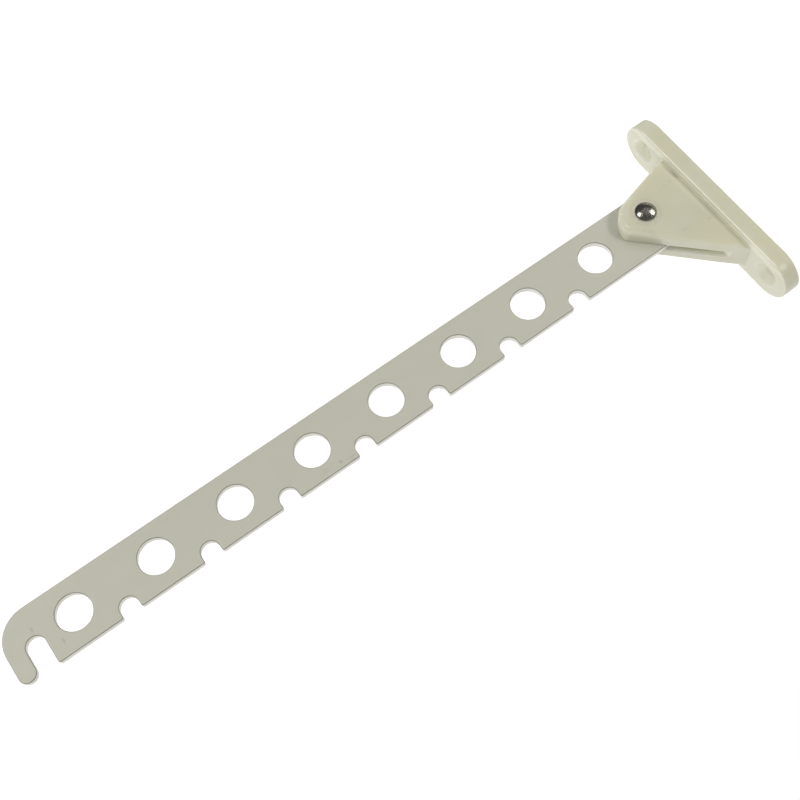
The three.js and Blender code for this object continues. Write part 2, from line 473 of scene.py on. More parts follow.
class Effects:
    """Effects that several finishes share, each a node group that is built once."""

    def __init__(self) -> None:
        """Build every group."""
        self.mottle = self._mottle()
        self.scratches = self._scratches()
        self.spot = self._spot()
        self.specks = self._specks()

    @staticmethod
    def _sheet(name: str, places: Sequence[str], sizes: Sequence[str]) -> tuple[NodeSheet, Any, Any]:
        """Start a group that puts out a mask.

        Args:
            name: the group's name.
            places: the names of its vector inputs.
            sizes: the names of its number inputs.

        Returns:
            The sheet, the group's inputs by name and the mask's socket.
        """
        group = bpy.data.node_groups.new(name, "ShaderNodeTree")
        for kind, names in (("NodeSocketVector", places), ("NodeSocketFloat", sizes)):
            for socket in names:
                group.interface.new_socket(name=socket, in_out="INPUT", socket_type=kind)
        group.interface.new_socket(name="Mask", in_out="OUTPUT", socket_type="NodeSocketFloat")
        sheet = NodeSheet(group)
        source, sink = sheet.add("NodeGroupInput"), sheet.add("NodeGroupOutput")
        return sheet, source.outputs, sink.inputs["Mask"]

    @classmethod
    def _mottle(cls) -> NodeTree:
        """Soft clouds, for slow changes of tone over a surface.

        Returns:
            The group, with inputs Place, Size in the place's own unit, and Softness.
        """
        sheet, given, mask = cls._sheet("Mottle", ("Place",), ("Size", "Softness"))
        scale = sheet.maths("DIVIDE", 1.0, given["Size"])
        noise = sheet.noise(given["Place"], Scale=scale, Detail=3.0, Roughness=0.55)
        low = sheet.maths("SUBTRACT", 0.5, given["Softness"])
        high = sheet.maths("ADD", 0.5, given["Softness"])
        sheet.tree.links.new(sheet.spread(noise, low, high), mask)
        return sheet.tree

    @classmethod
    def _scratches(cls) -> NodeTree:
        """Fine lines along one direction, gathered in patches.

        Returns:
            The group, with inputs Place, Stretch for the direction, Size and Amount.
        """
        sheet, given, mask = cls._sheet("Scratches", ("Place", "Stretch"), ("Size", "Amount"))
        drawn = sheet.vectors("MULTIPLY", given["Place"], given["Stretch"])
        scale = sheet.maths("DIVIDE", 1.0, given["Size"])
        lines = sheet.noise(drawn, Scale=scale, Detail=2.0, Roughness=0.6, Distortion=0.15)
        line = sheet.spread(lines, 0.60, 0.74)
        patches = sheet.noise(given["Place"], Scale=sheet.maths("MULTIPLY", scale, 0.06), Detail=1.0)
        limit = sheet.maths("SUBTRACT", 1.0, given["Amount"])
        patch = sheet.spread(patches, sheet.maths("SUBTRACT", limit, 0.15), limit)
        sheet.tree.links.new(sheet.maths("MULTIPLY", line, patch), mask)
        return sheet.tree

    @classmethod
    def _spot(cls) -> NodeTree:
        """One soft round or long mark at a named place.

        Returns:
            The group, with inputs Place, Centre, Half Size and Softness.
        """
        sheet, given, mask = cls._sheet("Spot", ("Place", "Centre", "Half Size"), ("Softness",))
        away = sheet.vectors("SUBTRACT", given["Place"], given["Centre"])
        reach = sheet.vectors("LENGTH", sheet.vectors("DIVIDE", away, given["Half Size"]))
        inner = sheet.maths("SUBTRACT", 1.0, given["Softness"])
        outer = sheet.maths("ADD", 1.0, given["Softness"])
        sheet.tree.links.new(sheet.spread(reach, inner, outer, 1.0, 0.0), mask)
        return sheet.tree

    @classmethod
    def _specks(cls) -> NodeTree:
        """Sparse small specks, such as dust or pits.

        Returns:
            The group, with inputs Place, Spacing, Radius and Share, how many places hold one.
        """
        sheet, given, mask = cls._sheet("Specks", ("Place",), ("Spacing", "Radius", "Share"))
        scale = sheet.maths("DIVIDE", 1.0, given["Spacing"])
        cells = sheet.add("ShaderNodeTexVoronoi", {"Vector": given["Place"], "Scale": scale})
        reach = sheet.maths("MULTIPLY", given["Radius"], scale)
        speck = sheet.spread(cells.outputs["Distance"], 0.0, reach, 1.0, 0.0)
        chance = sheet.add("ShaderNodeSeparateColor", {"Color": cells.outputs["Color"]}).outputs[0]
        kept = sheet.maths("LESS_THAN", chance, given["Share"])
        sheet.tree.links.new(sheet.maths("MULTIPLY", speck, kept), mask)
        return sheet.tree

    def marked(
        self, sheet: NodeSheet, place: Any, body: Any, marks: Sequence[Mark], colour: Colour
    ) -> NodeSocket:
        """Lay small marks over a colour.

        Args:
            sheet: the material's sheet.
            place: the place in millimetres from the pivot.
            body: the colour so far.
            marks: the marks.
            colour: the colour that they show.

        Returns:
            The marked colour's socket.
        """
        for mark in marks:
            spot = sheet.effect(
                self.spot, Place=place, Centre=(mark.along, mark.across, mark.up),
                Half_Size=(mark.half_length, mark.half_width, mark.half_height), Softness=mark.softness,
            )
            body = sheet.tint(spot, mark.strength, body, colour)
        return body


def new_material(name: str) -> tuple[Material, NodeSheet, Node]:
    """Start a material.

    Args:
        name: its name.

    Returns:
        The material, its sheet and its Principled shader, which is wired to the output.
    """
    material = bpy.data.materials.new(name)
    material.use_nodes = True
    material.node_tree.nodes.clear()
    sheet = NodeSheet(material.node_tree)
    shader = sheet.add("ShaderNodeBsdfPrincipled")
    sheet.add("ShaderNodeOutputMaterial", {"Surface": shader.outputs[0]})
    return material, sheet, shader


@dataclass(frozen=True)
class IvoryMoulding:
    """Ivory moulded plastic with a soft satin gloss, faint clouds, scuffs and grime, with painted highlights,
    painted shade, and painted light in its slot and screw holes.

    Sizes on the surface are in millimetres, depth and relief_depth in metres.
    """

    pale: Colour = (0.745, 0.738, 0.595, 1.0)
    warm: Colour = (0.740, 0.716, 0.548, 1.0)
    # Pale tone for the grain, a few pale spots and the painted highlights.
    mark_tone: Colour = (0.930, 0.915, 0.830, 1.0)
    # Dark tone for the grime specks and for the painted shade.
    grime_and_shade: Colour = (0.420, 0.385, 0.270, 1.0)
    # Tone of the painted light: it fills in the shade at the ear's root and draws highlight lines on the
    # plate's front strip.
    glow: Colour = (0.960, 0.940, 0.790, 1.0)
    cloud_size: float = 14.0
    grain_size: float = 1.1
    grain_share: float = 0.04
    dust_share: float = 0.35
    gloss_roughness: float = 0.36
    worn_roughness: float = 0.50
    rub_wear: float = 0.6
    cloud_wear: float = 0.5
    rub_depth: float = 0.5
    skin_scale: float = 2.2
    relief: float = 0.10
    relief_depth: float = 0.0001
    refraction: float = 1.49
    depth: float = 0.0022
    depth_by_colour: tuple[float, float, float] = (1.0, 1.0, 0.95)
    depth_share: float = 1.0
    # inner and deep: painted light on the slot's walls and in the screw holes, and a painted olive shade
    # where the slot gets deep.
    inner: Colour = (0.960, 0.945, 0.830, 1.0)
    deep: Colour = (0.660, 0.640, 0.280, 1.0)
    flank_way: tuple[float, float, float] = (0.7071, 0.0, 0.7071)
    flank_reach: float = 8.41
    deep_from: float = 1.46
    deep_to: float = 1.80
    slot_limit: float = 0.9
    # Dark marks: painted shade in the countersinks' cones, along the ear's root, by its shoulder and as dim
    # lines between the root strip's painted highlights, with small dark spots and faint darker patches on the
    # ear.
    shade_and_grime_marks: tuple[Mark, ...] = (
        Mark(4.3, -5.3, 4.7, 0.22, 0.22, 0.60),
        Mark(6.8, -5.3, 0.35, 0.18, 0.16, 0.55),
        Mark(8.4, -5.3, 0.2, 0.20, 0.18, 0.50),
        Mark(7.8, -5.3, 1.8, 0.20, 0.20, 0.35),
        Mark(-15.5, -5.3, -4.9, 0.5, 1.5, 0.36),
        Mark(-17.3, -1.0, 32.8, 1.2, 1.0, 0.25, 1.2),
        Mark(-16.9, -3.6, -18.8, 0.8, 0.5, 0.35, 0.6),
        Mark(-14.9, -5.3, -6.2, 0.35, 3.2, 0.22),
        Mark(-12.7, -5.3, -3.9, 0.5, 0.4, 0.14),
        Mark(-10.4, -5.3, -3.7, 0.8, 0.16, 0.22),
        Mark(-13.7, -5.3, 13.1, 0.7, 0.25, 0.30),
        Mark(-5.6, -5.3, 11.6, 1.1, 0.25, 0.18),
        Mark(-14.4, -5.3, 10.2, 4.5, 3.5, 0.06),
        Mark(-10.0, -5.3, 11.0, 8.0, 10.0, 0.04, 2.0),
        Mark(3.2, -5.3, 8.3, 1.0, 3.6, 0.10),
        Mark(6.3, -3.4, 5.9, 4.0, 4.0, 0.12, 2.2),
        Mark(-16.35, -5.95, 6.0, 0.4, 40.0, 0.13, 0.20),
        Mark(-16.35, -7.22, 6.0, 0.4, 40.0, 0.14, 0.24),
    )
    # Pale marks: painted highlights on the nose's rounded edge and on the countersinks' rims, painted light
    # round the nose and on the plate's lower end, and a few pale spots.
    highlight_and_spot_marks: tuple[Mark, ...] = (
        Mark(7.4, -5.3, 0.4, 0.20, 0.95, 0.95),
        Mark(7.9, -5.3, 0.1, 0.75, 0.16, 0.50),
        Mark(6.0, -5.3, -3.8, 0.4, 0.4, 0.35),
        Mark(0.6, -5.3, -6.3, 0.3, 0.3, 0.50),
        Mark(-16.4, -3.7, 37.2, 0.5, 0.55, 0.85, 0.5),
        Mark(-16.4, 4.1, -21.6, 0.5, 0.55, 0.85, 0.5),
        Mark(4.0, -5.3, 0.0, 7.0, 7.0, 0.12, 2.0),
        Mark(-16.35, 2.0, -25.0, 0.5, 9.0, 0.22, 6.0),
        Mark(-18.2, -7.4, 39.2, 1.2, 0.9, 0.60),
    )
    # Painted light: a band filling the shade at the ear's root, and painted highlight lines along the plate's
    # front strip beside it.
    painted_light_marks: tuple[Mark, ...] = (
        Mark(-15.2, -5.3, 0.0, 1.5, 20.0, 0.24, 0.4),
        Mark(-16.35, -5.75, 6.0, 0.4, 40.0, 0.38, 0.55),
        Mark(-16.35, -5.30, 6.0, 0.4, 40.0, 0.90, 0.22),
        Mark(-16.35, -6.55, 6.0, 0.4, 40.0, 1.00, 0.26),
        Mark(-16.35, -7.90, 6.0, 0.4, 60.0, 0.80, 0.16),
    )
    # Rings round the rivet, as radius, half width and share: a painted light ring hugging the head and a
    # painted shadow ring outside it.
    rivet_light_and_shade_rings: tuple[tuple[float, float, float], ...] = ((3.62, 0.28, 0.45), (4.5, 0.7, -0.12))

    def material(self, effects: Effects) -> Material:
        """Build the finish.

        Args:
            effects: the shared node groups.

        Returns:
            The material.
        """
        material, sheet, shader = new_material("ivory_moulding")
        place = sheet.place()
        clouds = sheet.effect(effects.mottle, Place=place, Size=self.cloud_size, Softness=0.30)
        body = sheet.blend(clouds, self.pale, self.warm)
        grain = sheet.effect(effects.mottle, Place=place, Size=self.grain_size, Softness=0.35)
        body = sheet.tint(grain, self.grain_share, body, self.mark_tone)
        # Painted light at the ear's root and painted highlight lines on the plate's front strip.
        body = effects.marked(sheet, place, body, self.painted_light_marks, self.glow)
        # Painted shade and small dark spots.
        body = effects.marked(sheet, place, body, self.shade_and_grime_marks, self.grime_and_shade)
        # Painted highlights, painted light and a few pale spots.
        body = effects.marked(sheet, place, body, self.highlight_and_spot_marks, self.mark_tone)
        # Painted light ring and painted shadow ring round the rivet.
        body = self._paint_rivet_rings(sheet, place, body)
        inside = sheet.face_mark("inner")
        # Painted light in the slot and screw holes, and painted shade deep in the slot.
        body = sheet.blend(inside, body, self._inner_tone(sheet, place, inside))
        dust = sheet.effect(effects.specks, Place=place, Spacing=3.4, Radius=0.22, Share=0.12)
        body = sheet.tint(dust, self.dust_share, body, self.grime_and_shade)
        rubbed = sheet.effect(
            effects.scratches, Place=place, Stretch=(0.25, 1.0, 1.0), Size=0.35, Amount=0.48
        )
        worn = sheet.maths(
            "MAXIMUM", sheet.maths("MULTIPLY", rubbed, self.rub_wear),
            sheet.maths("MULTIPLY", clouds, self.cloud_wear),
        )
        roughness = sheet.spread(worn, 0.0, 1.0, self.gloss_roughness, self.worn_roughness)
        skin = sheet.noise(place, Scale=self.skin_scale, Detail=2.0)
        height = sheet.maths("SUBTRACT", skin, sheet.maths("MULTIPLY", rubbed, self.rub_depth))
        sheet.cover(shader, body, roughness, height, self.relief, self.relief_depth)
        shader.inputs["IOR"].default_value = self.refraction
        shader.inputs["Subsurface Weight"].default_value = self.depth_share
        shader.inputs["Subsurface Radius"].default_value = self.depth_by_colour
        shader.inputs["Subsurface Scale"].default_value = self.depth
        return material

    def _inner_tone(self, sheet: NodeSheet, place: Any, inside: Any) -> NodeSocket:
        """Colour the inside with painted light, pale by the long flank, and with a painted olive shade where
        the slot gets deep.

        Args:
            sheet: the material's sheet.
            place: the place in millimetres from the pivot.
            inside: 1 in the slot, less elsewhere.

        Returns:
            The colour's socket.
        """
        below = sheet.maths("SUBTRACT", self.flank_reach, sheet.vectors("DOT_PRODUCT", place, self.flank_way))
        deep = sheet.spread(below, self.deep_from, self.deep_to)
        in_slot = sheet.maths("GREATER_THAN", inside, self.slot_limit)
        return sheet.blend(sheet.maths("MULTIPLY", deep, in_slot), self.inner, self.deep)

    def _paint_rivet_rings(self, sheet: NodeSheet, place: Any, body: Any) -> NodeSocket:
        """Lay a painted light ring and a painted shadow ring round the rivet on the ear.

        Args:
            sheet: the material's sheet.
            place: the place in millimetres from the pivot.
            body: the colour so far.

        Returns:
            The colour with the painted pale ring and the painted dim ring round the rivet.
        """
        reach = sheet.off_axis(place)
        for radius, half, share in self.rivet_light_and_shade_rings:
            off = sheet.maths("ABSOLUTE", sheet.maths("SUBTRACT", reach, radius))
            ring = sheet.spread(off, 0.0, half, abs(share), 0.0)
            body = sheet.blend(ring, body, self.mark_tone if share > 0 else self.grime_and_shade)
        return body


@dataclass(frozen=True)
class SatinAluminium:
    """Satin drawn aluminium bar with faint bands along it and a painted dark reflection on its rolled-over
    edges.

    Sizes on the surface are in millimetres, relief_depth in metres.
    """

    face: Colour = (0.725, 0.725, 0.615, 1.0)
    band: Colour = (0.700, 0.702, 0.602, 1.0)
    # Tone of the painted dark reflection on the rolled-over edges.
    edge: Colour = (0.300, 0.295, 0.250, 1.0)
    cut: Colour = (0.760, 0.750, 0.680, 1.0)
    mark_tone: Colour = (0.480, 0.480, 0.420, 1.0)
    band_size: float = 4.5
    cloud_size: float = 22.0
    scratch_share: float = 0.18
    pit_share: float = 0.35
    metallic: float = 0.25
    face_roughness: float = 0.58
    scuff_roughness: float = 0.45
    tone_wear: float = 0.3
    most_wear: float = 1.3
    scratch_depth: float = 0.6
    grain_scale: float = 6.0
    relief: float = 0.12
    relief_depth: float = 0.00005
    marks: tuple[Mark, ...] = (
        Mark(209.25, -1.2, -1.1, 0.35, 0.8, 0.45),
        Mark(203.75, -1.2, 6.5, 0.3, 0.9, 0.45),
        Mark(117.15, -1.2, 9.1, 0.5, 0.45, 0.5),
        Mark(113.85, -1.2, 9.6, 1.3, 0.25, 0.3),
        Mark(121.85, -1.2, 8.9, 1.0, 0.7, 0.15),
        Mark(129.35, -1.2, 10.8, 0.35, 0.4, 0.6),
    )

    def material(self, effects: Effects) -> Material:
        """Build the finish.

        Args:
            effects: the shared node groups.

        Returns:
            The material.
        """
        material, sheet, shader = new_material("satin_aluminium")
        place = sheet.place()
        drawn = sheet.vectors("MULTIPLY", place, (0.012, 0.3, 1.0))
        bands = sheet.effect(effects.mottle, Place=drawn, Size=self.band_size, Softness=0.28)
        clouds = sheet.effect(effects.mottle, Place=place, Size=self.cloud_size, Softness=0.30)
        tone = sheet.maths("MULTIPLY", sheet.maths("ADD", bands, clouds), 0.5)
        body = sheet.blend(tone, self.face, self.band)
        body = effects.marked(sheet, place, body, self.marks, self.mark_tone)
        scratches = sheet.effect(
            effects.scratches, Place=place, Stretch=(0.06, 1.0, 1.0), Size=0.30, Amount=0.50
        )
        body = sheet.tint(scratches, self.scratch_share, body, self.mark_tone)
        pits = sheet.effect(effects.specks, Place=place, Spacing=5.0, Radius=0.25, Share=0.10)
        body = sheet.tint(pits, self.pit_share, body, self.mark_tone)
        body = sheet.blend(sheet.face_mark("cut_wall"), body, self.cut)
        # Painted dark reflection on the rolled-over edges.
        body = sheet.blend(sheet.face_mark("rolled_edge"), body, self.edge)
        roughness = sheet.spread(
            sheet.maths("ADD", scratches, sheet.maths("MULTIPLY", tone, self.tone_wear)),
            0.0, self.most_wear, self.face_roughness, self.scuff_roughness,
        )
        grain = sheet.vectors("MULTIPLY", place, (0.05, 1.0, 1.0))
        lines = sheet.noise(grain, Scale=self.grain_scale, Detail=3.0, Roughness=0.6)
        height = sheet.maths("SUBTRACT", lines, sheet.maths("MULTIPLY", scratches, self.scratch_depth))
        sheet.cover(shader, body, roughness, height, self.relief, self.relief_depth)
        shader.inputs["Metallic"].default_value = self.metallic
        return material


@dataclass(frozen=True)
class PlatedSteel:
    """Bright plated steel with fine turning marks, a little haze and a painted dark reflection on the head's
    rim.

    Sizes on the surface are in millimetres, relief_depth in metres.
    """

    bright: Colour = (0.800, 0.790, 0.710, 1.0)
    dull: Colour = (0.300, 0.295, 0.262, 1.0)
    painted_rim_shade: Colour = (0.090, 0.088, 0.080, 1.0)
    rim_from: float = 2.65
    rim_to: float = 3.10
    far_dullness: float = 0.75
    cloud_size: float = 0.45
    scratch_size: float = 0.16
    roughness: float = 0.14
    haze: float = 0.30
    relief: float = 0.25
    relief_depth: float = 0.00005

    def material(self, effects: Effects) -> Material:
        """Build the finish, brighter on the head's side of the rivet than on the tail's.

        Args:
            effects: the shared node groups.

        Returns:
            The material.
        """
        material, sheet, shader = new_material("plated_steel")
        place = sheet.place()
        clouds = sheet.effect(effects.mottle, Place=place, Size=self.cloud_size, Softness=0.16)
        scratches = sheet.effect(
            effects.scratches, Place=place, Stretch=(1.0, 1.0, 0.35), Size=self.scratch_size, Amount=0.55
        )
        body = sheet.blend(sheet.maths("MAXIMUM", clouds, scratches), self.bright, self.dull)
        across = sheet.add("ShaderNodeSeparateXYZ", {0: place}).outputs[1]
        # Painted dark reflection on the head's rim.
        rim = sheet.spread(sheet.off_axis(place), self.rim_from, self.rim_to)
        near = sheet.maths("LESS_THAN", across, 0.0)
        body = sheet.blend(sheet.maths("MULTIPLY", rim, near), body, self.painted_rim_shade)
        far = sheet.maths("GREATER_THAN", across, 0.0)
        body = sheet.tint(far, self.far_dullness, body, self.dull)
        roughness = sheet.spread(clouds, 0.0, 1.0, self.roughness, self.haze)
        height = sheet.maths("SUBTRACT", clouds, scratches)
        sheet.cover(shader, body, roughness, height, self.relief, self.relief_depth)
        shader.inputs["Metallic"].default_value = 1.0
        return material


@dataclass
class HangerArm:
    """Flat bar with hanger holes, notches along its upper edge and a hooked tip.

    Lengths along the bar are from the pivot hole. The notched edge is the upper one.
    """

    finish: SatinAluminium = SatinAluminium()
    hanger_count: int = 8
    first_hole: float = 0.02011
    pitch: float = 0.0254
    hole_diameter: float = 0.01032
    notch_width: float = 0.0056
    notch_depth: float = 0.0047
    lip_radius: float = 0.0006
    hook_from_last_hole: float = 0.01245
    hook_width: float = 0.0056
    hook_depth: float = 0.0103
    mouth_radius: float = 0.0008
    finger_width: float = 0.0051
    stop_reach: float = 0.01235
    bore_radius: float = 0.00175
    rolled_radius: float = 0.00028
    rolled_steps: int = 4
    rolled_above: float = math.radians(32)
    wall_lean: float = 0.08
    face_lean: float = 0.96

    def __post_init__(self) -> None:
        """Take the bar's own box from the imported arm."""
        self.low, self.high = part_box("arm")
        self.middle = (self.low.z + self.high.z) / 2
        self.thickness = self.high.y - self.low.y

    def at(self, along: float, height: float) -> Vector:
        """A point on the bar's middle plane, from a length along it and a height in the frame."""
        return Vector((PIVOT.x + along, 0.0, height))

    def build(self, effects: Effects) -> Object:
        """Model the bar and dress it as the folding body.

        Args:
            effects: the shared node groups.

        Returns:
            The arm.
        """
        arm = Bench.block("hanger_arm", self.low, self.high)
        tip_radius = (self.high.z - self.low.z) / 2
        self._round_corners(arm, tip_radius, 32, [Vector((self.high.x, 0, self.low.z))])
        last_hole = self.first_hole + (self.hanger_count - 1) * self.pitch
        hook = last_hole + self.hook_from_last_hole
        holes = self._drum(self.first_hole, self.middle, self.hole_diameter / 2, 96)
        notch = self._throat(self.first_hole + self.pitch / 2, self.notch_width, self.notch_depth)
        tools = [
            Bench.repeated(holes, Vector((self.pitch, 0, 0)), self.hanger_count),
            Bench.repeated(notch, Vector((self.pitch, 0, 0)), self.hanger_count - 1),
            self._throat(hook, self.hook_width, self.hook_depth),
            self._drum(0.0, PIVOT.z, self.bore_radius, 64),
        ]
        Bench.carve(arm, Bench.gather(tools))
        Bench.carve(arm, self._butt_corner())
        self._round_mouths(arm, hook)
        self._roll_edges(arm)
        Bench.mark_faces(arm, "rolled_edge", lambda p: self.wall_lean < abs(p.normal.y) < self.face_lean)
        Bench.mark_faces(arm, "cut_wall", lambda p: abs(p.normal.y) <= self.wall_lean)
        arm.data.materials.append(self.finish.material(effects))
        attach(arm, "arm")
        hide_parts("arm")
        return arm

    def _drum(self, along: float, height: float, radius: float, sides: int) -> Object:
        """A round cutter through the bar."""
        return Bench.drum("cutter", self.at(along, height), radius, 3 * self.thickness, Axis.Y, sides)

    def _throat(self, along: float, width: float, depth: float) -> Object:
        """Make a round-bottomed cutter that opens through the notched edge.

        Args:
            along: where its middle is.
            width: how wide it cuts.
            depth: how deep it cuts.

        Returns:
            The cutter.
        """
        centre_height = self.high.z - depth + width / 2
        tool = self._drum(along, centre_height, width / 2, 48)
        Bench.halve(tool, self.at(along, centre_height), (0, 0, 1))
        with Bench.editing(tool, Part.FACE):
            Bench.pick(tool, Part.FACE, lambda f: f.normal.z > FACING)
            bpy.ops.mesh.extrude_region_move(TRANSFORM_OT_translate={"value": (0, 0, depth)})
        return tool

    def _butt_corner(self) -> Object:
        """Make the cutter that strikes the butt's upper corner as an arc about the pivot.

        Returns:
            The cutter.
        """
        low = Vector((self.low.x - OVERRUN, -self.thickness, PIVOT.z))
        high = Vector((PIVOT.x - self.bore_radius - OVERRUN, self.thickness, self.high.z + OVERRUN))
        corner = Bench.block("cutter", low, high)
        kept = Bench.drum("kept", self.at(0, PIVOT.z), self.stop_reach, 4 * self.thickness, Axis.Y, 192)
        Bench.carve(corner, kept)
        return corner

    def _round_corners(self, arm: Object, radius: float, steps: int, corners: Sequence[Vector]) -> None:
        """Round corners of the bar's outline, through its thickness.

        Args:
            arm: the bar.
            radius: the rounding's radius.
            steps: the faces across it.
            corners: where the corners are.
        """
        Bench.round_edges(arm, radius, steps, lambda e: runs_along(e, 1) and any(
            on_both(e, lambda p, c=corner: abs(p.x - c.x) < SNUG and abs(p.z - c.z) < SNUG)
            for corner in corners
        ))

    def _round_mouths(self, arm: Object, hook: float) -> None:
        """Round the lips of the notches, the hook slot's mouth and the finger's end.

        Args:
            arm: the cut bar.
            hook: where the hook slot's middle is.
        """
        half = self.notch_width / 2
        middles = [self.first_hole + (i + 0.5) * self.pitch for i in range(self.hanger_count - 1)]
        lips = [self.at(m + side * half, self.high.z) for m in middles for side in (-1, 1)]
        self._round_corners(arm, self.lip_radius, 5, lips)
        self._round_corners(arm, self.mouth_radius, 6, [self.at(hook - self.hook_width / 2, self.high.z)])
        finger = [self.at(hook + self.hook_width / 2, self.high.z), Vector((self.high.x, 0, self.high.z))]
        self._round_corners(arm, self.finger_width / 2, 16, finger)

    def _roll_edges(self, arm: Object) -> None:
        """Roll over the edges that blanking leaves, on both faces.

        Args:
            arm: the cut bar.
        """
        Bench.hold(arm)
        roll = arm.modifiers.new("rolled edges", "BEVEL")
        roll.width, roll.segments, roll.limit_method = self.rolled_radius, self.rolled_steps, "ANGLE"
        roll.angle_limit, roll.use_clamp_overlap = self.rolled_above, False
        bpy.ops.object.modifier_apply(modifier=roll.name)
        Bench.finish(arm)


@dataclass
class WallBracket:
    """One moulding: a screw plate with full-round ends, and two ears with the arm's slot between.

    Heights of the ears' root are from the pivot.
    """

    finish: IvoryMoulding = IvoryMoulding()
    plate_thickness: float = 0.00547
    plate_edge: float = 0.00035
    back_edge: float = 0.0003
    screw_spacing: float = 0.0554
    screw_radius: float = 0.0022
    sink_radius: float = 0.0042
    ear_thickness: float = 0.00384
    slot_width: float = 0.00282
    slot_floor_from_pivot: float = 0.01265
    nose_radius: float = 0.009
    nose_centre: Vector = PIVOT + Vector((0.00053, 0.0, 0.00206))
    shoulder_radius: float = 0.002
    shoulder_turn: float = math.radians(-4)
    face_radius: float = 0.0038
    face_turn: float = math.radians(-20)
    face_depth: float = 0.0014
    root_below: float = 0.01165
    root_above: float = 0.02825
    ear_edge: float = 0.0006
    slot_edge: float = 0.0002
    bore_radius: float = 0.00175
    hull_flatness: float = math.radians(0.3)
    # How much of the painted light the faces of each screw hole take.
    bore_innerness: float = 0.88
    sink_innerness: float = 0.45

    def __post_init__(self) -> None:
        """Take the moulding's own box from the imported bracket."""
        self.low, self.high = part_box("bracket")
        self.ears_half = self.ear_thickness + self.slot_width / 2

    def build(self, effects: Effects) -> Object:
        """Model the moulding and dress it as the fixed body.

        Args:
            effects: the shared node groups.

        Returns:
            The bracket.
        """
        bracket = self._plate()
        Bench.carve(bracket, self._ears(), Carve.JOIN)
        self._cut_slot(bracket)
        self._cut_bores(bracket)
        Bench.finish(bracket, smooth_below=35.0)
        Bench.mark_faces(bracket, "inner", self._innerness)
        bracket.data.materials.append(self.finish.material(effects))
        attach(bracket, "bracket")
        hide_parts("bracket")
        return bracket

    def _plate(self) -> Object:
        """Model the screw plate, with full-round ends and a softened front edge.

        Returns:
            The plate.
        """
        high = Vector((self.plate_thickness, self.high.y, self.high.z))
        plate = Bench.block("wall_bracket", self.low, high)
        Bench.round_edges(plate, self.high.y, 32, lambda e: runs_along(e, 0))
        for face_x, radius, steps in ((high.x, self.plate_edge, 6), (self.low.x, self.back_edge, 3)):
            Bench.round_edges(
                plate, radius, steps,
                lambda e, x=face_x: is_crease(e) and on_both(e, lambda p: abs(p.x - x) < SNUG),
            )
        return plate

    def _ears(self) -> Object:
        """Model both ears as one solid, its flanks drawn tight from the root to nose and shoulder.

        The outer faces have a fuller shoulder than the core, so that the side leans in to them there.

        Returns:
            The ears, with their outline's edges rounded.
        """
        drums = []
        for half, turn, radius in (
            (self.ears_half, self.face_turn, self.face_radius),
            (self.ears_half - self.face_depth, self.shoulder_turn, self.shoulder_radius),
        ):
            way = Vector((math.cos(turn), 0, math.sin(turn)))
            nose = Bench.drum("ears", self.nose_centre, self.nose_radius, 2 * half, Axis.Y, 180)
            Bench.halve(nose, self.nose_centre, (-way.z, 0, way.x))
            inner = self.nose_centre + way * (self.nose_radius - radius)
            drums += [nose, Bench.drum("shoulder", inner, radius, 2 * half, Axis.Y, 96)]
        root_x = self.plate_thickness
        low = self._carried_on(-self.root_below, self.nose_centre, self.nose_radius, -1)
        high = self._carried_on(self.root_above, inner, self.shoulder_radius, 1)
        root = Bench.block(
            "root",
            Vector((root_x / 4, -self.ears_half, low.z)), Vector((root_x / 2, self.ears_half, high.z)),
        )
        ears = Bench.gather([*drums, root])
        with Bench.editing(ears, Part.VERT):
            bpy.ops.mesh.delete(type="EDGE_FACE")
            bpy.ops.mesh.select_all(action="SELECT")
            bpy.ops.mesh.convex_hull()
            bpy.ops.mesh.select_all(action="SELECT")
            bpy.ops.mesh.dissolve_limited(angle_limit=self.hull_flatness)
            bpy.ops.mesh.normals_make_consistent(inside=False)
        for side in (-1, 1):
            face_y = side * self.ears_half
            Bench.round_edges(
                ears, self.ear_edge, 7,
                lambda e, y=face_y: is_crease(e) and on_both(e, lambda p: abs(p.y - y) < SNUG)
                and not on_both(e, lambda p: p.x < root_x - SNUG),
            )
        return ears

    def _carried_on(self, height: float, centre: Vector, radius: float, side: int) -> Vector:
        """Follow a flank past its root, into the middle of the plate.

        Args:
            height: where it meets the plate's front, from the pivot.
            centre: the middle of the round that it leaves at its other end.
            radius: that round's radius.
            side: 1 for the flank above the pivot, -1 for the one below.

        Returns:
            The flank's end inside the plate.
        """
        corner = Vector((self.plate_thickness, 0, PIVOT.z + height))
        way = corner - centre
        angle = math.atan2(way.z, way.x) + side * math.asin(radius / math.hypot(way.x, way.z))
        run = -corner.x / 2 / math.cos(angle)
        return corner + Vector((math.cos(angle), 0, math.sin(angle))) * run

    def _cut_slot(self, bracket: Object) -> None:
        """Cut the arm's slot through from flank to flank and ease its outer edges.

        Args:
            bracket: the moulding so far.
        """
        half, floor = self.slot_width / 2, PIVOT.x - self.slot_floor_from_pivot
        low = Vector((floor, -half, PIVOT.z - self.root_below - OVERRUN))
        high = Vector((self.high.x + OVERRUN, half, PIVOT.z + self.root_above + OVERRUN))
        Bench.carve(bracket, Bench.block("slot", low, high))

        def opens_out(edge: Any) -> bool:
            """Whether an edge borders the slot where it opens on the outside."""
            inside = on_both(edge, lambda p: abs(p.y) < half + SNUG and p.x > floor - SNUG)
            along_floor = on_both(edge, lambda p: abs(p.x - floor) < SNUG) and runs_along(edge, 2)
            return inside and is_crease(edge) and not along_floor

        Bench.round_edges(bracket, self.slot_edge, 3, opens_out)

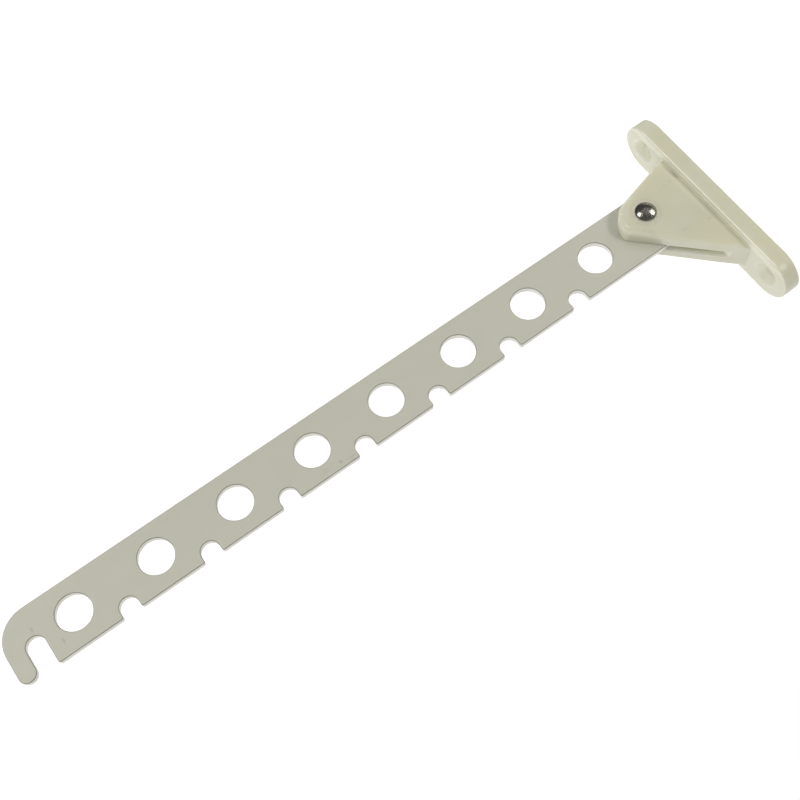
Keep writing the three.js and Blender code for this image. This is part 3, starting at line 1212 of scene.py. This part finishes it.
    def _cut_bores(self, bracket: Object) -> None:
        """Cut the pivot bore and the countersunk screw holes.

        Args:
            bracket: the moulding so far.
        """
        Bench.carve(
            bracket, Bench.drum("bore", PIVOT, self.bore_radius, 2 * self.ears_half + OVERRUN, Axis.Y, 64)
        )
        sink_depth = self.sink_radius - self.screw_radius
        for side in (-1, 1):
            height = side * self.screw_spacing / 2
            length = self.plate_thickness - sink_depth + OVERRUN
            centre = Vector((length / 2 - OVERRUN, 0, height))
            tool = Bench.drum("screw_hole", centre, self.screw_radius, length, Axis.X, 96)
            with Bench.editing(tool, Part.FACE):
                Bench.pick(tool, Part.FACE, lambda f: f.normal.x > FACING)
                rise = sink_depth + OVERRUN
                bpy.ops.mesh.extrude_region_move(TRANSFORM_OT_translate={"value": (rise, 0, 0)})
                ratio = (self.screw_radius + rise) / self.screw_radius
                bpy.ops.transform.resize(
                    value=(1, ratio, ratio), center_override=(self.plate_thickness + OVERRUN, 0, height)
                )
            Bench.carve(bracket, tool)

    def _innerness(self, face: Any) -> float:
        """How far a face lies inside the moulding, where its colour is painted paler as painted light.

        Args:
            face: the mesh polygon.

        Returns:
            1 in the slot, less in the screw holes, 0 outside.
        """
        place, across = face.center, abs(face.center.y)
        floor = PIVOT.x - self.slot_floor_from_pivot
        is_wall = abs(across - self.slot_width / 2) < SNUG and abs(face.normal.y) > FACING
        is_floor = abs(place.x - floor) < SNUG and face.normal.x > FACING
        if is_wall or is_floor:
            return 1.0
        off_axis = math.hypot(place.y, abs(place.z) - self.screw_spacing / 2)
        if off_axis < self.sink_radius - SNUG and abs(face.normal.x) < FACING:
            return self.bore_innerness if off_axis < self.screw_radius + SNUG else self.sink_innerness
        return 0.0


@dataclass
class PivotRivet:
    """The rivet through both ears and the arm, and the washer under its clinched tail."""

    finish: PlatedSteel = PlatedSteel()
    ears_half: float = 0.00525
    seat_gap: float = 0.0002
    shank_radius: float = 0.0016
    head_radius: float = 0.003175
    head_height: float = 0.0015
    head_rim: float = 0.00025
    head_chamfer: float = 0.00008
    tail_radius: float = 0.0025
    tail_base: float = 0.0003
    tail_bore: float = 0.0011
    tail_bore_depth: float = 0.0014
    washer_radius: float = 0.0036
    washer_thickness: float = 0.0008
    washer_edge: float = 0.0002
    washer_play: float = 0.00015
    punch_length: float = 0.01

    def build(self, effects: Effects) -> tuple[Object, Object]:
        """Turn the rivet and its washer and dress them as a part of the fixed body.

        Args:
            effects: the shared node groups.

        Returns:
            The rivet and the washer.
        """
        rivet = Bench.finish(Bench.turned("rivet", self._rivet_profile()), smooth_below=50.0)
        pieces, material = (rivet, self._washer()), self.finish.material(effects)
        for piece, node in zip(pieces, ("pivot_rivet", "rivet_washer"), strict=True):
            piece.data.materials.append(material)
            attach(piece, "bracket")
            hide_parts(node)
        return pieces

    def _rivet_profile(self) -> list[tuple[float, float]]:
        """Lay out the rivet from the bottom of its tail's bore to the top of its head.

        Returns:
            The radius and place along Y of each ring.
        """
        tail_seat = self.ears_half + 2 * self.seat_gap + self.washer_thickness
        roll = (self.tail_radius - self.tail_bore) / 2
        roll_centre = tail_seat + self.tail_base
        head_seat = -(self.ears_half + self.seat_gap)
        rise = self.head_height - self.head_rim
        dome = (self.head_radius**2 + rise**2) / (2 * rise)
        dome_centre = head_seat - self.head_height + dome
        edge = math.degrees(math.asin((dome - rise) / dome))
        return [
            (self.tail_bore, roll_centre - self.tail_bore_depth),
            *((self.tail_bore + roll + x, roll_centre + y) for x, y in arc(roll, 180, 0, 12)),
            (self.tail_radius, tail_seat),
            (self.shank_radius, tail_seat),
            (self.shank_radius, head_seat),
            (self.head_radius - self.head_chamfer, head_seat),
            (self.head_radius, head_seat - self.head_chamfer),
            *((x, dome_centre - y) for x, y in arc(dome, edge, 89, 16)),
        ]

    def _washer(self) -> Object:
        """Turn the washer under the tail.

        Returns:
            The washer.
        """
        near = self.ears_half + self.seat_gap
        far, edge = near + self.washer_thickness, self.washer_edge
        rim = self.washer_radius - edge
        profile = [
            (self.shank_radius, near),
            *((rim + x, near + edge + y) for x, y in arc(edge, -90, 0, 4)),
            *((rim + x, far - edge + y) for x, y in arc(edge, 0, 90, 4)),
            (self.shank_radius, far),
        ]
        washer = Bench.turned("washer", profile)
        seat, hole_radius = PIVOT + Vector((0, near, 0)), self.shank_radius + self.washer_play
        Bench.carve(washer, Bench.drum("hole", seat, hole_radius, self.punch_length, Axis.Y, 64))
        return Bench.finish(washer)


@dataclass(frozen=True)
class Softbox:
    """A square studio light. A catch light shows in shiny surfaces only, a plain one in dull ones."""

    name: str
    way: tuple[float, float, float]
    distance: float
    side: float
    power: float
    catch: bool = False


@dataclass
class Studio:
    """The camera at the photograph's viewing angle, soft lights, a pale floor and surround."""

    camera_place: Vector = Vector((0.18439, -0.33829, 0.12829))
    camera_right: Vector = Vector((-0.80719, 0.04049, 0.58890))
    camera_down: Vector = Vector((0.54106, 0.44961, 0.71070))
    sensor: float = 36.0
    lens: float = 58.50
    clip: tuple[float, float] = (0.01, 100.0)
    shift: tuple[float, float] = (-0.0375, -0.0875)
    floor_drop: float = 1.2
    floor_side: float = 120.0
    floor_colour: Colour = (0.90, 0.90, 0.90, 1.0)
    floor_roughness: float = 0.9
    floor_unseen: float = 0.5
    light_colour: tuple[float, float, float] = (1.0, 0.98, 0.92)
    surround: Colour = (0.98, 0.98, 1.0, 1.0)
    surround_even: float = 0.55
    surround_slope: float = 1.03
    surround_way: tuple[float, float, float] = (0.728, 0.324, -0.414)
    mirrored_way: tuple[float, float, float] = (0.20, 0.85, 0.49)
    mirrored_from: float = -0.25
    mirrored_to: float = 0.45
    mirrored_low: float = 0.07
    mirrored_high: float = 1.80
    aim: Vector = Vector((0.10, 0.0, -0.008))
    lights: tuple[Softbox, ...] = (
        Softbox("key", (-0.45, -0.75, 0.48), 1.6, 0.36, 8.5),
        Softbox("low_key", (-0.80, -0.52, 0.28), 2.0, 0.6, 0.6),
        Softbox("right_catch", (-0.78, -0.58, 0.26), 2.2, 0.90, 18.0, True),
        Softbox("left_catch", (0.62, -0.70, -0.37), 2.2, 0.85, 16.0, True),
        Softbox("front_catch", (-0.27, -0.75, -0.12), 2.2, 1.9, 2.2, True),
    )

    def camera(self) -> None:
        """Place the camera and make it the scene's own."""
        bpy.ops.object.camera_add(location=self.camera_place)
        camera = bpy.context.active_object
        right = self.camera_right.normalized()
        back = self.camera_down.cross(right).normalized()
        turn = Matrix((right, back.cross(right), back)).transposed()
        camera.rotation_euler = turn.to_euler()
        camera.data.sensor_width, camera.data.lens = self.sensor, self.lens
        camera.data.shift_x, camera.data.shift_y = self.shift
        camera.data.clip_start, camera.data.clip_end = self.clip
        bpy.context.scene.camera = camera

    def floor(self) -> None:
        """Lay the pale floor well below the part, brighter to the camera than to other rays."""
        bpy.ops.mesh.primitive_plane_add(size=self.floor_side, location=(0, 0, -self.floor_drop))
        floor = Bench.settle("floor")
        material, sheet, shader = new_material("pale_floor")
        shader.inputs["Base Color"].default_value = self.floor_colour
        shader.inputs["Roughness"].default_value = self.floor_roughness
        shader.inputs["Emission Color"].default_value = self.floor_colour
        seen = sheet.add("ShaderNodeLightPath").outputs["Is Camera Ray"]
        strength = sheet.spread(seen, 0.0, 1.0, self.floor_unseen, 1.0)
        sheet.tree.links.new(strength, shader.inputs["Emission Strength"])
        floor.data.materials.append(material)
        floor.visible_glossy = False

    def softboxes(self) -> None:
        """Hang the softboxes, each turned towards the part."""
        for box in self.lights:
            way = Vector(box.way).normalized()
            bpy.ops.object.light_add(type="AREA", location=self.aim + way * box.distance)
            light = bpy.context.active_object
            light.name = light.data.name = box.name
            light.rotation_euler = way.to_track_quat("Z", "Y").to_euler()
            light.data.shape, light.data.size = "SQUARE", box.side
            light.data.energy, light.data.color = box.power, self.light_colour
            light.visible_glossy, light.visible_diffuse = box.catch, not box.catch

    def world(self) -> None:
        """Surround the part with white that falls off evenly from one side to the other."""
        world = bpy.data.worlds.new("studio")
        bpy.context.scene.world = world
        world.use_nodes = True
        world.node_tree.nodes.clear()
        sheet = NodeSheet(world.node_tree)
        way = sheet.add("ShaderNodeTexCoord").outputs["Generated"]
        around, mirrored = (
            sheet.vectors("DOT_PRODUCT", way, Vector(axis).normalized())
            for axis in (self.surround_way, self.mirrored_way)
        )
        slope = sheet.maths("MULTIPLY_ADD", around, self.surround_slope, self.surround_even)
        mirror = sheet.spread(
            mirrored, self.mirrored_from, self.mirrored_to, self.mirrored_low, self.mirrored_high
        )
        rays = sheet.add("ShaderNodeLightPath").outputs
        glow = sheet.add("ShaderNodeMix", {0: rays["Is Glossy Ray"], 2: slope, 3: mirror}).outputs[0]
        seen = rays["Is Camera Ray"]
        colour = sheet.blend(seen, self.surround, (1.0, 1.0, 1.0, 1.0))
        strength = sheet.maths("MAXIMUM", sheet.maths("MAXIMUM", glow, 0.0), seen)
        glow = sheet.add("ShaderNodeBackground", {"Color": colour, "Strength": strength})
        sheet.add("ShaderNodeOutputWorld", {"Surface": glow.outputs[0]})

    def build(self) -> None:
        """Set up the whole studio."""
        self.camera()
        self.floor()
        self.softboxes()
        self.world()
        bpy.context.scene.view_settings.view_transform = "Standard"
        log.info("studio: camera, floor, %d softboxes, surround", len(self.lights))


def report(piece: Object) -> None:
    """Log a finished piece with its faces and its box in millimetres.

    Args:
        piece: the finished piece.
    """
    corners = [Vector(c) * MM for c in piece.bound_box]
    low = [round(min(c[i] for c in corners), 2) for i in range(3)]
    high = [round(max(c[i] for c in corners), 2) for i in range(3)]
    log.info("%s: %d faces, %s to %s mm", piece.name, len(piece.data.polygons), low, high)


def main() -> None:
    """Build the studio and the valet rod."""
    logging.basicConfig(level=logging.INFO, format="%(name)s: %(message)s")
    Studio().build()
    effects = Effects()
    bracket = WallBracket().build(effects)
    arm = HangerArm().build(effects)
    for piece in (bracket, arm, *PivotRivet().build(effects)):
        report(piece)


if __name__ == "__main__":
    main()
